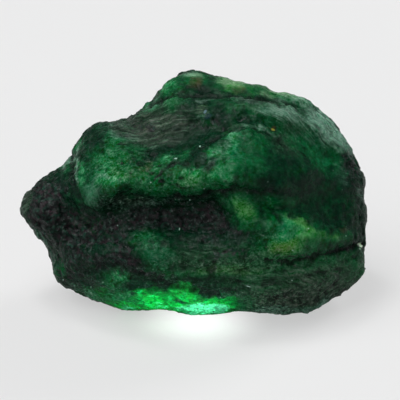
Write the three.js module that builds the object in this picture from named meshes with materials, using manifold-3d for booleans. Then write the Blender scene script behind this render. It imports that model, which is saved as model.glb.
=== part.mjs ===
// Rough emerald: one piece of dark green beryl, folded and streaked with black mica, as it was dug.
//
// The stone is set out on its broad face. There x runs across the face, y up it and z out of it, in
// millimetres from the middle of the face. The face leans back, and the stone rests on a small flat
// worn on its underside. In the finished frame X runs across the stone, Y from front to back and Z up.

import * as THREE from 'three';
import { ImprovedNoise } from 'three/addons/math/ImprovedNoise.js';
import { mergeVertices } from 'three/addons/utils/BufferGeometryUtils.js';
import Module from 'manifold-3d';

// Driving dimensions
const LEAN = THREE.MathUtils.degToRad(25); // how far the face leans back from upright
const FRONT_DEPTH = 17; // from the rim out to the crown of the face
const BACK_DEPTH = 17.5; // from the rim to the deepest point of the back
const FULLNESS = 2.35; // 2 is an ellipse from rim to crown, more is boxier
const FLOOR_DROP = 19.1; // from the middle of the face down to the surface that the stone rests on

// The stone's rim as [across, up], clockwise from the tip of the dark nose on the left
const RIM = [
  // nose and shoulder lump
  [-32.8, -1.9], [-32.2, -0.2], [-30.9, 1.7], [-29.2, 3.5], [-26.6, 5.1], [-25.1, 5.7], [-24.0, 7.3],
  [-23.6, 8.9], [-22.7, 9.9], [-21.7, 11.8], [-19.9, 13.7], [-18.9, 14.2], [-17.8, 14.3],
  // flank up to the crest
  [-16.1, 13.9], [-14.0, 14.6], [-12.4, 15.0], [-10.5, 16.7], [-8.6, 17.9], [-7.7, 19.3], [-5.8, 21.2],
  [-3.9, 22.7], [-1.5, 23.8], [-0.4, 24.0], [0.7, 23.9],
  // crest, falling to the right shoulder
  [2.2, 23.3], [4.9, 22.9], [6.4, 22.1], [8.2, 21.4], [12.0, 20.8], [15.7, 19.6], [17.6, 19.5],
  [20.4, 18.4], [23.0, 16.7], [25.5, 14.6], [27.5, 12.0], [28.5, 9.9], [30.2, 6.7], [31.3, 5.1],
  // broken right edge
  [32.0, 2.8], [31.8, 1.9], [31.2, 1.3], [31.5, -0.4], [32.2, -2.8], [31.8, -5.6], [31.8, -9.6],
  [31.3, -10.5], [31.3, -12.6], [31.2, -14.4], [30.3, -15.6], [28.8, -16.5], [27.0, -18.2],
  // foot
  [24.2, -19.7], [23.4, -20.5], [20.6, -21.6], [18.9, -21.4], [12.4, -21.3], [8.2, -21.0], [3.6, -21.3],
  [0.7, -21.6], [-1.1, -21.7], [-3.0, -21.3], [-5.6, -20.4], [-7.1, -20.7], [-12.4, -20.8],
  // undercut below the nose
  [-16.1, -20.3], [-19.1, -19.2], [-21.7, -17.7], [-24.7, -16.6], [-26.6, -15.0], [-26.9, -12.4],
  [-28.1, -9.6], [-29.9, -7.3], [-30.2, -5.8], [-32.0, -4.1],
];

// Broken faces that flatten the stone: the way each looks, and how far out it lies
const FRACTURES = [
  { name: 'underside', facing: [0.02, -0.906, -0.423], out: 19.4 },
  { name: 'back, upper right', facing: [0.4, 0.6, -0.7], out: 17.0 },
  { name: 'back, upper left', facing: [-0.55, 0.4, -0.73], out: 16.6 },
  { name: 'back, middle', facing: [0.2, -0.12, -0.97], out: 15.4 },
  { name: 'back, left end', facing: [-0.8, -0.25, -0.55], out: 20.0 },
  { name: 'back, right end', facing: [0.86, -0.12, -0.5], out: 24.0 },
  { name: 'back, foot', facing: [0.12, -0.62, -0.78], out: 17.6 },
  { name: 'front, lower left', facing: [-0.5, -0.62, 0.6], out: 19.0 },
  { name: 'front, lower right', facing: [0.5, -0.66, 0.56], out: 23.0 },
  { name: 'dark right face', facing: [0.66, 0.02, 0.75], out: 23.6 },
  { name: 'right shoulder', facing: [0.52, 0.62, 0.58], out: 22.6 },
  { name: 'top of the crest', facing: [-0.05, 0.78, 0.62], out: 19.6 },
  { name: 'left flank', facing: [-0.55, 0.6, 0.58], out: 17.6 },
];
const FRACTURE_SHARPNESS = 20; // higher breaks to a crisper edge
const RIM_CLEARANCE = 1.03; // how far past the rim, as a ratio, a broken face runs at the nearest

// Lumps and hollows of the face: middle, half lengths, turn in degrees, and how far each stands out
const FACE_LUMPS = [
  { name: 'shoulder lump', at: [-17.6, 5.6], size: [5.4, 7.0], turn: 14, height: 3.4 },
  { name: 'rolled edge', at: [-3.0, 4.0], size: [9.0, 3.2], turn: 3, height: 2.2 },
  { name: 'great bulge', at: [11.8, 6.0], size: [8.2, 6.4], turn: -12, height: 4.0 },
  { name: 'shoulder roll', at: [10.0, 15.6], size: [12.5, 2.6], turn: -12, height: 1.8 },
  { name: 'black hollow', at: [-7.0, -3.6], size: [11.5, 3.6], turn: 0, height: -3.0 },
  { name: 'upper lens', at: [9.4, -2.8], size: [4.2, 2.6], turn: -38, height: 2.2 },
  { name: 'lower lens', at: [18.0, -6.2], size: [7.6, 3.4], turn: 2, height: 2.6 },
  { name: 'belly', at: [-1.0, -11.5], size: [13.0, 4.6], turn: -4, height: 2.4 },
  { name: 'teal boss', at: [-7.6, -9.4], size: [4.4, 4.0], turn: 0, height: 1.0 },
  { name: 'nose', at: [-28.2, -1.0], size: [3.6, 4.5], turn: 0, height: 1.6 },
  { name: 'waist behind the nose', at: [-23.4, -3.0], size: [2.6, 6.0], turn: 16, height: -2.0 },
  { name: 'left foot', at: [-19.5, -12.6], size: [5.5, 3.4], turn: -18, height: 2.0 },
  { name: 'right foot', at: [20.0, -15.6], size: [8.0, 2.8], turn: 6, height: 1.8 },
  { name: 'flank dip', at: [-7.5, 10.6], size: [8.5, 3.4], turn: 14, height: -1.8 },
  { name: 'crest saddle', at: [15.0, 11.6], size: [9.0, 1.8], turn: -24, height: -1.2 },
];

// Ledges run across the face from left to right. The ground above each line stands out and the
// ground below it is cut back, by step in all. reach is how far that carries on to either side.
const FACE_LEDGES = [
  {
    name: 'under the rolled edge', step: 3.0, width: 0.9, reach: 4.0,
    line: [[-25.1, 6.0], [-24.2, 2.6], [-22.7, -0.8], [-20.6, -2.6], [-18.0, -2.8], [-15.5, -1.0],
      [-12.3, 0.9], [-8.6, 0.7], [-3.9, 0.0], [0.7, 0.4], [3.6, 1.3], [6.7, 2.2], [10.1, 1.5], [14.0, -0.4]],
  },
  {
    name: 'back of the great bulge', step: -2.0, width: 0.85, reach: 2.6,
    line: [[-1.5, 7.0], [3.0, 10.3], [7.3, 12.4], [12.4, 13.1], [17.6, 10.9], [20.4, 8.8], [24.0, 5.0]],
  },
  {
    name: 'back of the shoulder roll', step: -2.4, width: 0.85, reach: 2.2,
    line: [[-10.0, 16.6], [-3.9, 18.3], [3.0, 18.5], [9.5, 18.6], [14.0, 17.4], [19.5, 15.9], [24.5, 13.4]],
  },
  {
    name: 'between the lenses', step: -2.0, width: 0.85, reach: 2.0,
    line: [[8.6, 2.2], [11.6, -0.4], [13.5, -2.6], [15.5, -5.2], [17.5, -8.0]],
  },
  {
    name: 'under the lower lens', step: 2.2, width: 0.85, reach: 2.4,
    line: [[4.6, -12.2], [11.1, -12.2], [16.7, -11.4], [22.3, -10.1], [27.4, -9.1]],
  },
  {
    name: 'above the foot', step: 2.0, width: 0.85, reach: 2.6,
    line: [[-18.0, -11.6], [-12.4, -13.3], [-8.6, -14.6], [-4.9, -16.0], [-1.1, -16.8], [1.7, -17.4],
      [6.0, -18.0], [11.5, -18.2]],
  },
  {
    name: 'fold on the left flank', step: -1.6, width: 0.85, reach: 2.2,
    line: [[-18.0, 11.8], [-13.5, 9.6], [-8.5, 8.6], [-3.5, 9.2], [1.5, 11.6]],
  },
];

// The back is hidden in the only view known, and is given broken ledges of the same kind
const BACK_LUMPS = [
  { name: 'back hump', at: [9.0, 2.0], size: [9.0, 6.0], turn: 20, height: 2.4 },
  { name: 'back hollow', at: [-11.0, 1.0], size: [7.0, 4.0], turn: -20, height: -2.2 },
  { name: 'back foot', at: [-5.0, -11.0], size: [12.0, 4.0], turn: 5, height: 1.6 },
  { name: 'back shoulder', at: [-4.0, 13.0], size: [6.0, 4.0], turn: 0, height: 1.6 },
];
const BACK_LEDGES = [
  {
    name: 'upper back ledge', step: -2.6, width: 1.2, reach: 3.4,
    line: [[-22.0, 6.5], [-13.0, 9.5], [-5.0, 7.8], [3.0, 9.8], [11.0, 11.2], [19.0, 8.6], [26.0, 6.0]],
  },
  {
    name: 'middle back ledge', step: 3.0, width: 1.2, reach: 3.6,
    line: [[-27.0, -2.6], [-18.0, -5.0], [-10.0, -4.2], [-2.0, -6.4], [6.0, -5.2], [14.0, -7.4],
      [26.0, -5.0]],
  },
  {
    name: 'lower back ledge', step: 1.8, width: 1.2, reach: 2.4,
    line: [[-18.0, -12.5], [-9.0, -13.6], [0.0, -13.0], [10.0, -14.8], [21.0, -13.4]],
  },
];

// Folded layering: thin beds that run along the stone, break off in small steps and wander as they go
const BED_SPACING = 4.6;
const BED_DEPTH = 1.05;
const BED_RISE = 0.66; // share of each bed that rises gently before it breaks off
const BED_DIP = THREE.MathUtils.degToRad(-7);
const BED_OVER_LUMPS = 0.4; // how far the beds climb where they pass over a lump
const BED_STRENGTH = { middle: 0.6, least: 0.15 }; // the beds fade in and out along the stone
const WANDER_SPAN = 15;
const WANDER_BEDS = 2.2; // how many beds they wander up and down by
const LUMP_SPAN = 8.5; // size of the uneven lumps all over the stone
const LUMP_DEPTH = 1.1;
const CHIP_SPAN = 3.4; // size of the chips that roughen them
const CHIP_DEPTH = 0.7;

// Pits left by mica that has fallen out, one at most in each cell of a grid
const PIT_CELL = 6.5;
const PIT_RADII = [1.3, 2.4];
const PIT_DEPTH = 1.1;
const PIT_SHARE = 0.62; // share of the cells that hold a pit

// How the parts of the surface run into each other
const LUMP_FALL = { flatness: 1.3, spread: 1.6 }; // how flat a lump's top is and how far it spreads
const LEDGE_FADE = 2.5; // length over which a ledge dies out past its ends
const FACE_BEGINS = 0.35; // how far forward or back of the rim, as a sine, the relief is at its full depth
const RIM_ROUGHNESS = 0.08; // share of the roughness that is left on the rim
const RIM_BLUR = THREE.MathUtils.degToRad(9); // the rim's small dents are smoothed out over this angle
const RIM_BAND = 0.42; // radians to either side of the rim that follow its small dents
const RIM_SAMPLES = 720;

// The mesh
const MESH_STEPS = 21; // each side of the starting icosahedron is cut into one more than this
const MESH_STRETCH = new THREE.Vector3(32, 22, 18); // spreads the triangles over a long stone
const MESH_TO_FACE = 0.25; // gathers them on the face, where the relief is finest
const SAME_PLACE = 1e-5; // corners closer than this are one
const WEAR = 0.5; // how far each corner of the broken surface is worn towards the middle of its neighbours

const { smoothstep, lerp } = THREE.MathUtils;
const noise = new ImprovedNoise();

// How far the rim lies from the middle of the face, for evenly spaced angles round it
function sampleRim() {
  const turn = 2 * Math.PI;
  const points = RIM.map(([x, y]) => ({ angle: Math.atan2(y, x), reach: Math.hypot(x, y) }));
  points.sort((a, b) => a.angle - b.angle);
  const first = points[0];
  const last = points.at(-1);
  const ring = [
    { angle: last.angle - turn, reach: last.reach },
    ...points,
    { angle: first.angle + turn, reach: first.reach },
  ];
  const samples = [];
  for (let i = 0, k = 0; i < RIM_SAMPLES; i++) {
    const angle = -Math.PI + (i / RIM_SAMPLES) * turn;
    while (ring[k + 1].angle < angle) k++;
    const share = (angle - ring[k].angle) / (ring[k + 1].angle - ring[k].angle);
    samples.push(lerp(ring[k].reach, ring[k + 1].reach, share));
  }
  return samples;
}

// The same distances with the small dents smoothed away
function blurRim(samples) {
  const span = Math.round((RIM_BLUR / (2 * Math.PI)) * RIM_SAMPLES);
  return samples.map((_, i) => {
    let sum = 0;
    let weights = 0;
    for (let k = -span; k <= span; k++) {
      const weight = Math.cos((k / span) * (Math.PI / 2));
      sum += weight * samples[(i + k + RIM_SAMPLES) % RIM_SAMPLES];
      weights += weight;
    }
    return sum / weights;
  });
}

function readRing(samples, angle) {
  const place = ((angle + Math.PI) / (2 * Math.PI)) * RIM_SAMPLES;
  const i = Math.floor(place);
  return lerp(samples[i % RIM_SAMPLES], samples[(i + 1) % RIM_SAMPLES], place - i);
}

const rimExact = sampleRim();
const rimSmooth = blurRim(rimExact);

// 1 on the rim, falling to 0 towards the face and the back
function rimNearness(direction) {
  return Math.exp(-((Math.asin(direction.z) / RIM_BAND) ** 2));
}

// Distance from a point to a line, above 0 on the line's upper side, and how far past its ends it is
function besideLine(line, x, y) {
  let nearest = { distance: Infinity };
  for (let i = 0; i < line.length - 1; i++) {
    const [ax, ay] = line[i];
    const along = [line[i + 1][0] - ax, line[i + 1][1] - ay];
    const length = Math.hypot(...along);
    const place = ((x - ax) * along[0] + (y - ay) * along[1]) / length;
    const across = (along[0] * (y - ay) - along[1] * (x - ax)) / length;
    const past = Math.max(-place, place - length, 0);
    const distance = Math.hypot(across, past);
    if (distance < nearest.distance) nearest = { distance, side: Math.sign(across), past, i };
  }
  const openEnd = nearest.i === 0 || nearest.i === line.length - 2;
  return { above: nearest.side * nearest.distance, pastEnd: openEnd ? nearest.past : 0 };
}

function ledgeRelief({ line, step, width, reach }, x, y) {
  const { above, pastEnd } = besideLine(line, x, y);
  const ends = Math.exp(-((pastEnd / LEDGE_FADE) ** 2));
  return (step / 2) * Math.tanh(above / width) * Math.exp(-((above / reach) ** 2)) * ends;
}

function lumpRelief({ at, size, turn, height }, x, y) {
  const angle = THREE.MathUtils.degToRad(turn);
  const dx = x - at[0];
  const dy = y - at[1];
  const along = (dx * Math.cos(angle) + dy * Math.sin(angle)) / size[0];
  const across = (dy * Math.cos(angle) - dx * Math.sin(angle)) / size[1];
  return height * Math.exp(-((along * along + across * across) ** LUMP_FALL.flatness) / LUMP_FALL.spread);
}

function lumpsRelief(lumps, x, y) {
  return lumps.reduce((sum, lump) => sum + lumpRelief(lump, x, y), 0);
}

function ledgesRelief(ledges, x, y) {
  return ledges.reduce((sum, ledge) => sum + ledgeRelief(ledge, x, y), 0);
}

// The broken faces as unit directions. None of them cuts into the rim.
const fractures = FRACTURES.map(({ facing, out }) => {
  const normal = new THREE.Vector3(...facing).normalize();
  const rimOut = Math.max(...RIM.map(([x, y]) => x * normal.x + y * normal.y));
  return { normal, out: Math.max(out, RIM_CLEARANCE * rimOut) };
});

// Distance from the middle of the stone to its domed body with the broken faces taken off
function brokenReach(direction, rim) {
  const outward = Math.hypot(direction.x, direction.y);
  const half = direction.z > 0 ? FRONT_DEPTH : BACK_DEPTH;
  const dome = ((outward / rim) ** FULLNESS + (Math.abs(direction.z) / half) ** FULLNESS) ** (1 / FULLNESS);
  const limits = fractures.map(({ normal, out }) => Math.max(direction.dot(normal), 0) / out);
  const powers = [dome, ...limits].map((limit) => limit ** FRACTURE_SHARPNESS);
  return powers.reduce((total, power) => total + power, 0) ** (-1 / FRACTURE_SHARPNESS);
}

// The same, brought out to the true rim where the stone is widest
function bodyReach(direction) {
  const angle = Math.atan2(direction.y, direction.x);
  const near = rimNearness(direction);
  const smooth = readRing(rimSmooth, angle);
  const exact = readRing(rimExact, angle);
  const level = new THREE.Vector3(Math.cos(angle), Math.sin(angle), 0);
  const growth = exact / brokenReach(level, exact);
  return brokenReach(direction, lerp(smooth, exact, near)) * lerp(1, growth, near);
}

// Profile of one bed across its thickness, from -0.5 to 0.5: a gentle rise, then a short break
function bedProfile(place) {
  const share = place - Math.floor(place);
  const height = share < BED_RISE ? share / BED_RISE : (1 - share) / (1 - BED_RISE);
  return smoothstep(height, 0, 1) - 0.5;
}

// Uneven lumps, chips and folded beds, as a depth to move the surface by. raised is how far the
// surface already stands out there, which lifts the beds. The numbers added to each place keep the
// noises apart.
function roughness({ x, y, z }, raised) {
  const lump = noise.noise(x / LUMP_SPAN + 3.7, y / LUMP_SPAN + 1.3, z / LUMP_SPAN + 8.1);
  const chip = Math.abs(noise.noise(x / CHIP_SPAN + 5.2, y / CHIP_SPAN + 9.4, z / CHIP_SPAN + 2.6));
  const wander = noise.noise(x / WANDER_SPAN, y / WANDER_SPAN + 4.4, z / WANDER_SPAN);
  const fading = noise.noise(x / WANDER_SPAN + 7.7, y / LUMP_SPAN, z / WANDER_SPAN + 1.9);
  const strength = Math.max(BED_STRENGTH.middle + fading, BED_STRENGTH.least);
  const height = y * Math.cos(BED_DIP) - x * Math.sin(BED_DIP) - BED_OVER_LUMPS * raised;
  const bed = bedProfile(-height / BED_SPACING + WANDER_BEDS * wander);
  return LUMP_DEPTH * lump - CHIP_DEPTH * chip + BED_DEPTH * bed * strength;
}

// A fixed number from 0 to 1 for each cell of a grid. salt tells its several numbers apart.
function cellNumber(cell, salt) {
  let bits = Math.imul(cell[0] + 71, 374761393) ^ Math.imul(cell[1] + 131, 668265263);
  bits = Math.imul(bits ^ Math.imul(cell[2] + 197, 1274126177) ^ Math.imul(salt, 974634777), 2246822519);
  bits ^= bits >>> 15;
  return (Math.imul(bits, 3266489917) >>> 8) / 2 ** 24;
}

// How deep the pits go at a point
function pitDepth(point) {
  const home = point.toArray().map((value) => Math.floor(value / PIT_CELL));
  let depth = 0;
  for (let k = 0; k < 27; k++) {
    const aside = [(k % 3) - 1, (Math.floor(k / 3) % 3) - 1, Math.floor(k / 9) - 1];
    const cell = home.map((value, axis) => value + aside[axis]);
    if (cellNumber(cell, 1) > PIT_SHARE) continue;
    const middle = new THREE.Vector3(...cell.map((value, axis) => value + cellNumber(cell, axis + 2)));
    const radius = lerp(...PIT_RADII, cellNumber(cell, 5));
    const share = point.distanceTo(middle.multiplyScalar(PIT_CELL)) / radius;
    depth = Math.max(depth, Math.max(1 - share * share, 0) * (radius / PIT_RADII[1]));
  }
  return PIT_DEPTH * depth;
}

// The stone's surface in one direction from its middle
function surfacePoint(direction) {
  const point = direction.clone().multiplyScalar(bodyReach(direction));
  const { x, y } = point;
  const onFace = direction.z > 0;
  const raised = lumpsRelief(onFace ? FACE_LUMPS : BACK_LUMPS, x, y);
  const stepped = ledgesRelief(onFace ? FACE_LEDGES : BACK_LEDGES, x, y);
  const turned = smoothstep(Math.abs(direction.z), 0, FACE_BEGINS); // 0 on the rim, 1 on the face and back
  const rough = (roughness(point, raised * turned) - pitDepth(point)) * lerp(RIM_ROUGHNESS, 1, turned ** 2);
  point.addScaledVector(direction, rough * (1 - turned));
  point.z += Math.sign(direction.z) * turned * (rough + raised + stepped);
  return point;
}

// Wears a surface: each corner moves part of the way to the middle of the corners round it
function wear(geometry) {
  const position = geometry.getAttribute('position');
  const corners = geometry.index.array;
  const sums = new Float64Array(position.count * 3);
  const counts = new Float64Array(position.count);
  for (let i = 0; i < corners.length; i++) {
    const from = corners[i];
    const to = corners[i % 3 === 2 ? i - 2 : i + 1];
    counts[from] += 1;
    sums[3 * from] += position.getX(to);
    sums[3 * from + 1] += position.getY(to);
    sums[3 * from + 2] += position.getZ(to);
  }
  for (let i = 0; i < position.array.length; i++) {
    position.array[i] = lerp(position.array[i], sums[i] / counts[Math.floor(i / 3)], WEAR);
  }
  return geometry;
}

// The whole stone, standing with its face leant back, before its resting flat is cut
function stoneGeometry() {
  const geometry = new THREE.IcosahedronGeometry(1, MESH_STEPS);
  geometry.deleteAttribute('normal');
  geometry.deleteAttribute('uv');
  const merged = mergeVertices(geometry, SAME_PLACE);
  const position = merged.getAttribute('position');
  const direction = new THREE.Vector3();
  for (let i = 0; i < position.count; i++) {
    direction.fromBufferAttribute(position, i).normalize();
    direction.z += MESH_TO_FACE;
    direction.normalize().multiply(MESH_STRETCH).normalize();
    const point = surfacePoint(direction);
    position.setXYZ(i, point.x, point.y, point.z);
  }
  return wear(merged).rotateX(Math.PI / 2 - LEAN);
}

// A closed geometry as a solid for the boolean cut
function toSolid(wasm, geometry) {
  return new wasm.Manifold(new wasm.Mesh({
    numProp: 3,
    vertProperties: new Float32Array(geometry.getAttribute('position').array),
    triVerts: new Uint32Array(geometry.index.array),
  }));
}

function toGeometry(solid) {
  const { vertProperties, triVerts } = solid.getMesh();
  const geometry = new THREE.BufferGeometry();
  geometry.setAttribute('position', new THREE.BufferAttribute(new Float32Array(vertProperties), 3));
  geometry.setIndex(new THREE.BufferAttribute(new Uint32Array(triVerts), 1));
  return geometry;
}

// Everything below the resting surface, to cut the flat with
function underFloor() {
  const side = 200;
  const box = new THREE.BoxGeometry(side, side, side).translate(0, 0, -FLOOR_DROP - side / 2);
  box.deleteAttribute('normal');
  box.deleteAttribute('uv');
  return mergeVertices(box);
}

const wasm = await Module();
wasm.setup();

// The origin is the middle of the stone's extent, on the surface that it rests on
const stone = toGeometry(toSolid(wasm, stoneGeometry()).subtract(toSolid(wasm, underFloor())));
stone.computeBoundingBox();
const { min, max } = stone.boundingBox;
stone.translate(-(min.x + max.x) / 2, -(min.y + max.y) / 2, -min.z);
stone.computeVertexNormals();

const beryl = new THREE.MeshStandardMaterial({ color: 0x12402a, roughness: 0.42, metalness: 0 });
const emerald = new THREE.Mesh(stone, beryl);
emerald.name = 'rough_emerald';

const group = new THREE.Group();
group.add(emerald);
export default group;
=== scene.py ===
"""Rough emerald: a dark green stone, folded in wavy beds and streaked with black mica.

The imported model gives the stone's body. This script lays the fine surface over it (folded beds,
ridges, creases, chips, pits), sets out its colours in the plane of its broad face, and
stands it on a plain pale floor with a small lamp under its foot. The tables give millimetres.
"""
import math

import bpy
import numpy as np
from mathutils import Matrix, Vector


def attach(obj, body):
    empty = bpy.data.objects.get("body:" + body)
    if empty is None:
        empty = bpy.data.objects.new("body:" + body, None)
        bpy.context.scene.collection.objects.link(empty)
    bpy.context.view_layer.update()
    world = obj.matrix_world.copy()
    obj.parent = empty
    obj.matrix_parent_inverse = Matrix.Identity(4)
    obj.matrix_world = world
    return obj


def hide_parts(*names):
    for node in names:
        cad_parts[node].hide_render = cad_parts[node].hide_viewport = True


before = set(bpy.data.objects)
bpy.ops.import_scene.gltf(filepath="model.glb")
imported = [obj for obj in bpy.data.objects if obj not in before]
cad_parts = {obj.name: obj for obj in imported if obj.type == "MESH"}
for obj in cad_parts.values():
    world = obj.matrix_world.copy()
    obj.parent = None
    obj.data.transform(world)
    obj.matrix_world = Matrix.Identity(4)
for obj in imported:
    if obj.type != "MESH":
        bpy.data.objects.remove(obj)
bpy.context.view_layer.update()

MM = 0.001

# The broad face, as the model sets it out: how far it leans back, and where its middle lies
LEAN = math.radians(25)
FACE_MIDDLE = np.array([0.46, 0.77, 19.1])

# The mesh of the fine surface
GRAIN = 0.34  # size of its squares
REST_ZONE = 0.6  # height above the floor by which its relief has come in
LARGE_CHIPS = 4.2  # sizes of what makes it rough
SMALL_CHIPS = 1.7
PITS = 1.5
RAGGED = (0.75, 0.65)  # how far the edges of its colours wander, across and up the face
BENT = 0.45  # how far its creases and ridges bend

# Folds of the face that the beds arch over: middle, half lengths, turn, and how far they lift the beds
FOLDS = [
    ((-17.5, 5.6), (6.5, 8.0), 14, 2.4),
    ((11.5, 6.5), (9.0, 7.0), -12, 3.0),
    ((9.4, -2.8), (4.6, 3.2), -38, 1.4),
    ((18.5, -6.2), (8.0, 3.8), 2, 1.8),
    ((-2.0, -11.0), (13.0, 5.5), -4, -1.6),
]

# Rounded ridges of the face: a line of points, half width and height
RIDGES = [
    # shoulder
    ([(-3.9, 17.0), (5.4, 17.4), (14.8, 15.7), (19.5, 14.2), (24.2, 11.4), (27.9, 8.2)], 1.6, 0.5),
    ([(0.0, 8.2), (3.0, 10.2), (7.3, 12.0), (11.0, 12.4)], 1.4, 0.3),  # great bulge
    ([(14.0, 10.6), (19.0, 9.4), (24.0, 7.4)], 3.4, -0.5),  # flat beside it
    ([(-14.0, 3.4), (-8.0, 4.6), (-2.0, 5.4), (4.0, 5.0), (8.0, 4.6)], 1.6, 0.5),  # rolled edge
    ([(6.6, 0.4), (9.2, -2.6), (12.6, -5.0)], 1.6, 0.5),  # upper lens
    ([(13.4, -3.6), (18.0, -4.8), (23.0, -7.0), (28.0, -7.6)], 1.7, 0.6),  # lower lens
    ([(6.0, -13.8), (14.0, -13.9), (22.0, -12.6), (30.0, -10.4)], 0.9, 0.25),  # beds of the foot
    ([(8.0, -16.6), (16.0, -16.8), (24.0, -15.8)], 0.9, 0.2),
    ([(-6.0, 21.4), (-1.0, 20.8), (6.0, 21.2), (12.0, 20.0)], 1.0, 0.35),  # crest
    ([(18.0, 19.2), (20.4, 18.2)], 1.4, 0.45),
    ([(-12.4, 15.4), (-8.6, 17.6), (-5.0, 20.4)], 1.6, -0.5),  # left of the crest
    ([(-25.6, 6.0), (-24.2, 8.6)], 1.4, -0.5),  # between the nose and the shoulder lump
    ([(-28.8, -8.0), (-27.8, -12.0)], 2.4, -0.7),  # under the nose
    ([(-25.6, 0.4), (-25.4, -3.0), (-25.0, -6.0)], 1.5, 0.6),  # behind it
    ([(30.8, -13.8), (30.6, -15.0)], 1.0, 0.4),  # corner low on the right
    ([(20.4, -20.6), (22.4, -19.8)], 1.0, 0.5),
]

# Narrow creases of the face, also painted dark as shade: a line of points, half width and depth
CREASES = [
    # round the shoulder lump and under the rolled edge
    ([(-24.0, 8.6), (-23.0, 5.0), (-22.0, 1.6), (-20.6, -1.6), (-18.4, -2.8)], 0.45, 0.6),
    ([(-22.9, -0.8), (-20.6, -2.6), (-18.0, -2.8), (-15.5, -1.0), (-12.3, 0.8)], 0.35, 0.2),
    ([(-3.9, -0.2), (0.7, 0.2), (3.6, 1.1), (6.7, 2.0)], 0.35, 0.45),
    ([(6.7, 2.0), (10.1, 1.4), (14.0, 1.2), (18.0, 0.4)], 0.5, 0.3),
    ([(-7.8, 3.2), (-6.0, 4.8), (-4.4, 5.8), (-0.6, 6.2)], 0.2, 0.3),
    ([(-6.2, 3.0), (-3.6, 2.2), (-0.4, 1.6)], 0.28, 0.3),
    # above the great bulge
    ([(2.0, 10.0), (7.0, 12.2), (11.4, 12.3), (14.6, 11.4), (17.0, 9.6)], 0.3, 0.35),
    # behind the shoulder
    ([(-8.6, 17.8), (-3.9, 19.0), (3.0, 19.1), (8.2, 18.7), (13.0, 17.9)], 0.5, 0.9),
    ([(13.0, 17.9), (16.4, 17.2), (19.5, 16.4)], 0.3, 0.4),
    ([(-3.0, 21.0), (1.5, 20.0), (6.0, 20.1), (9.5, 19.4)], 0.4, 0.4),
    # between the lenses and under the lower one
    ([(9.8, 1.8), (11.0, 0.4), (12.8, -1.0), (13.4, -2.8), (15.2, -4.6)], 0.35, 0.16),
    ([(12.6, -11.8), (18.0, -11.8), (22.3, -10.6), (27.9, -9.0), (31.1, -8.4)], 0.32, 0.6),
    # low on the left
    ([(-18.0, -12.0), (-12.4, -13.1), (-8.6, -14.2), (-4.9, -15.9), (-1.1, -16.7), (4.0, -17.6)], 0.5, 0.6),
    ([(-25.5, -6.5), (-21.0, -8.0), (-16.0, -7.6), (-12.0, -9.0)], 0.45, 0.5),
    # across the foliated foot on the right
    ([(6.0, -15.2), (12.0, -15.6), (18.0, -14.6), (24.0, -14.0), (29.0, -12.4)], 0.4, 0.25),
    ([(9.0, -17.8), (15.0, -18.2), (21.0, -17.4), (26.0, -16.4)], 0.4, 0.25),
]

# Thin pale lines on the face, veins in most places and painted highlights, one on the shoulder lump
# and two along the left edge of the great bulge: a line of points, half width and how pale
VEINS_AND_HIGHLIGHTS = [
    ([(-21.8, 10.2), (-22.2, 8.4), (-22.3, 6.4), (-22.0, 4.6), (-21.4, 3.2)], 0.2, 0.9),  # shoulder lump
    # painted highlight on the shoulder lump
    ([(-17.9, 3.7), (-16.7, 4.4), (-15.5, 3.6)], 0.25, 0.5),
    ([(-23.6, 9.0), (-24.4, 7.2), (-24.8, 5.8)], 0.4, 0.9),
    ([(3.2, 6.2), (4.6, 8.4), (6.4, 10.6), (8.2, 12.4)], 0.3, 0.25),  # left edge of the great bulge, painted highlight
    ([(1.4, 7.2), (4.0, 8.8), (7.0, 11.8)], 0.3, 0.25),
    ([(8.2, 12.8), (11.6, 12.8), (13.9, 12.2), (15.4, 11.4)], 0.17, 0.45),  # above the great bulge
    ([(0.5, 17.4), (4.0, 18.3), (8.0, 17.8), (12.0, 16.8)], 0.22, 0.3),  # shoulder
    ([(13.0, 16.4), (17.5, 15.2), (21.0, 13.2), (24.2, 10.8), (27.0, 8.4)], 0.4, 0.5),
    ([(15.0, 18.2), (19.0, 17.4), (23.0, 15.6)], 0.4, 0.5),
    ([(8.4, -15.8), (9.6, -16.2), (11.0, -16.2)], 0.2, 0.7),
]

# Small bright flecks on the face, painted glints of flakes that catch the light: middle, half lengths and
# turn
GLINT_FLECKS = [
    ((-3.75, 6.9), (0.5, 0.16), 24), ((0.9, 9.1), (0.17, 0.15), 0), ((-3.0, -5.6), (0.1, 0.26), -8),
    ((17.6, -15.1), (0.13, 0.11), 0), ((9.6, -16.3), (0.5, 0.1), -6), ((-24.9, -15.4), (0.14, 0.16), 0),
    ((-19.5, -17.6), (0.13, 0.12), 0), ((-8.2, 2.8), (0.14, 0.1), 0), ((20.4, -5.6), (0.16, 0.12), 0),
    ((17.6, -9.5), (0.16, 0.1), 12), ((27.2, -7.0), (0.1, 0.1), 0),
    ((1.5, 1.7), (0.13, 0.11), 0), ((-1.1, -0.4), (0.1, 0.1), 0), ((-14.4, -5.0), (0.1, 0.1), 0),
]

# Specks of other minerals: middle, half lengths, turn, colour and how much
SPECKS = [
    ((2.2, 14.9), (0.9, 0.6), 20, (12, 40, 56), 0.6),  # blue stain
    ((1.7, 15.7), (0.42, 0.26), 35, (98, 128, 140), 0.85),  # and its bright speck
    ((14.3, 12.75), (0.55, 0.22), -20, (150, 146, 62), 0.85),  # yellow speck above the great bulge
    ((13.3, 12.9), (0.4, 0.2), -20, (74, 52, 34), 0.5),
    ((30.9, -8.8), (0.7, 0.5), -30, (226, 246, 216), 1.0),  # pale chip on the right edge
    ((30.3, -9.4), (0.26, 0.3), 20, (150, 185, 160), 0.7),
]

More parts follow.
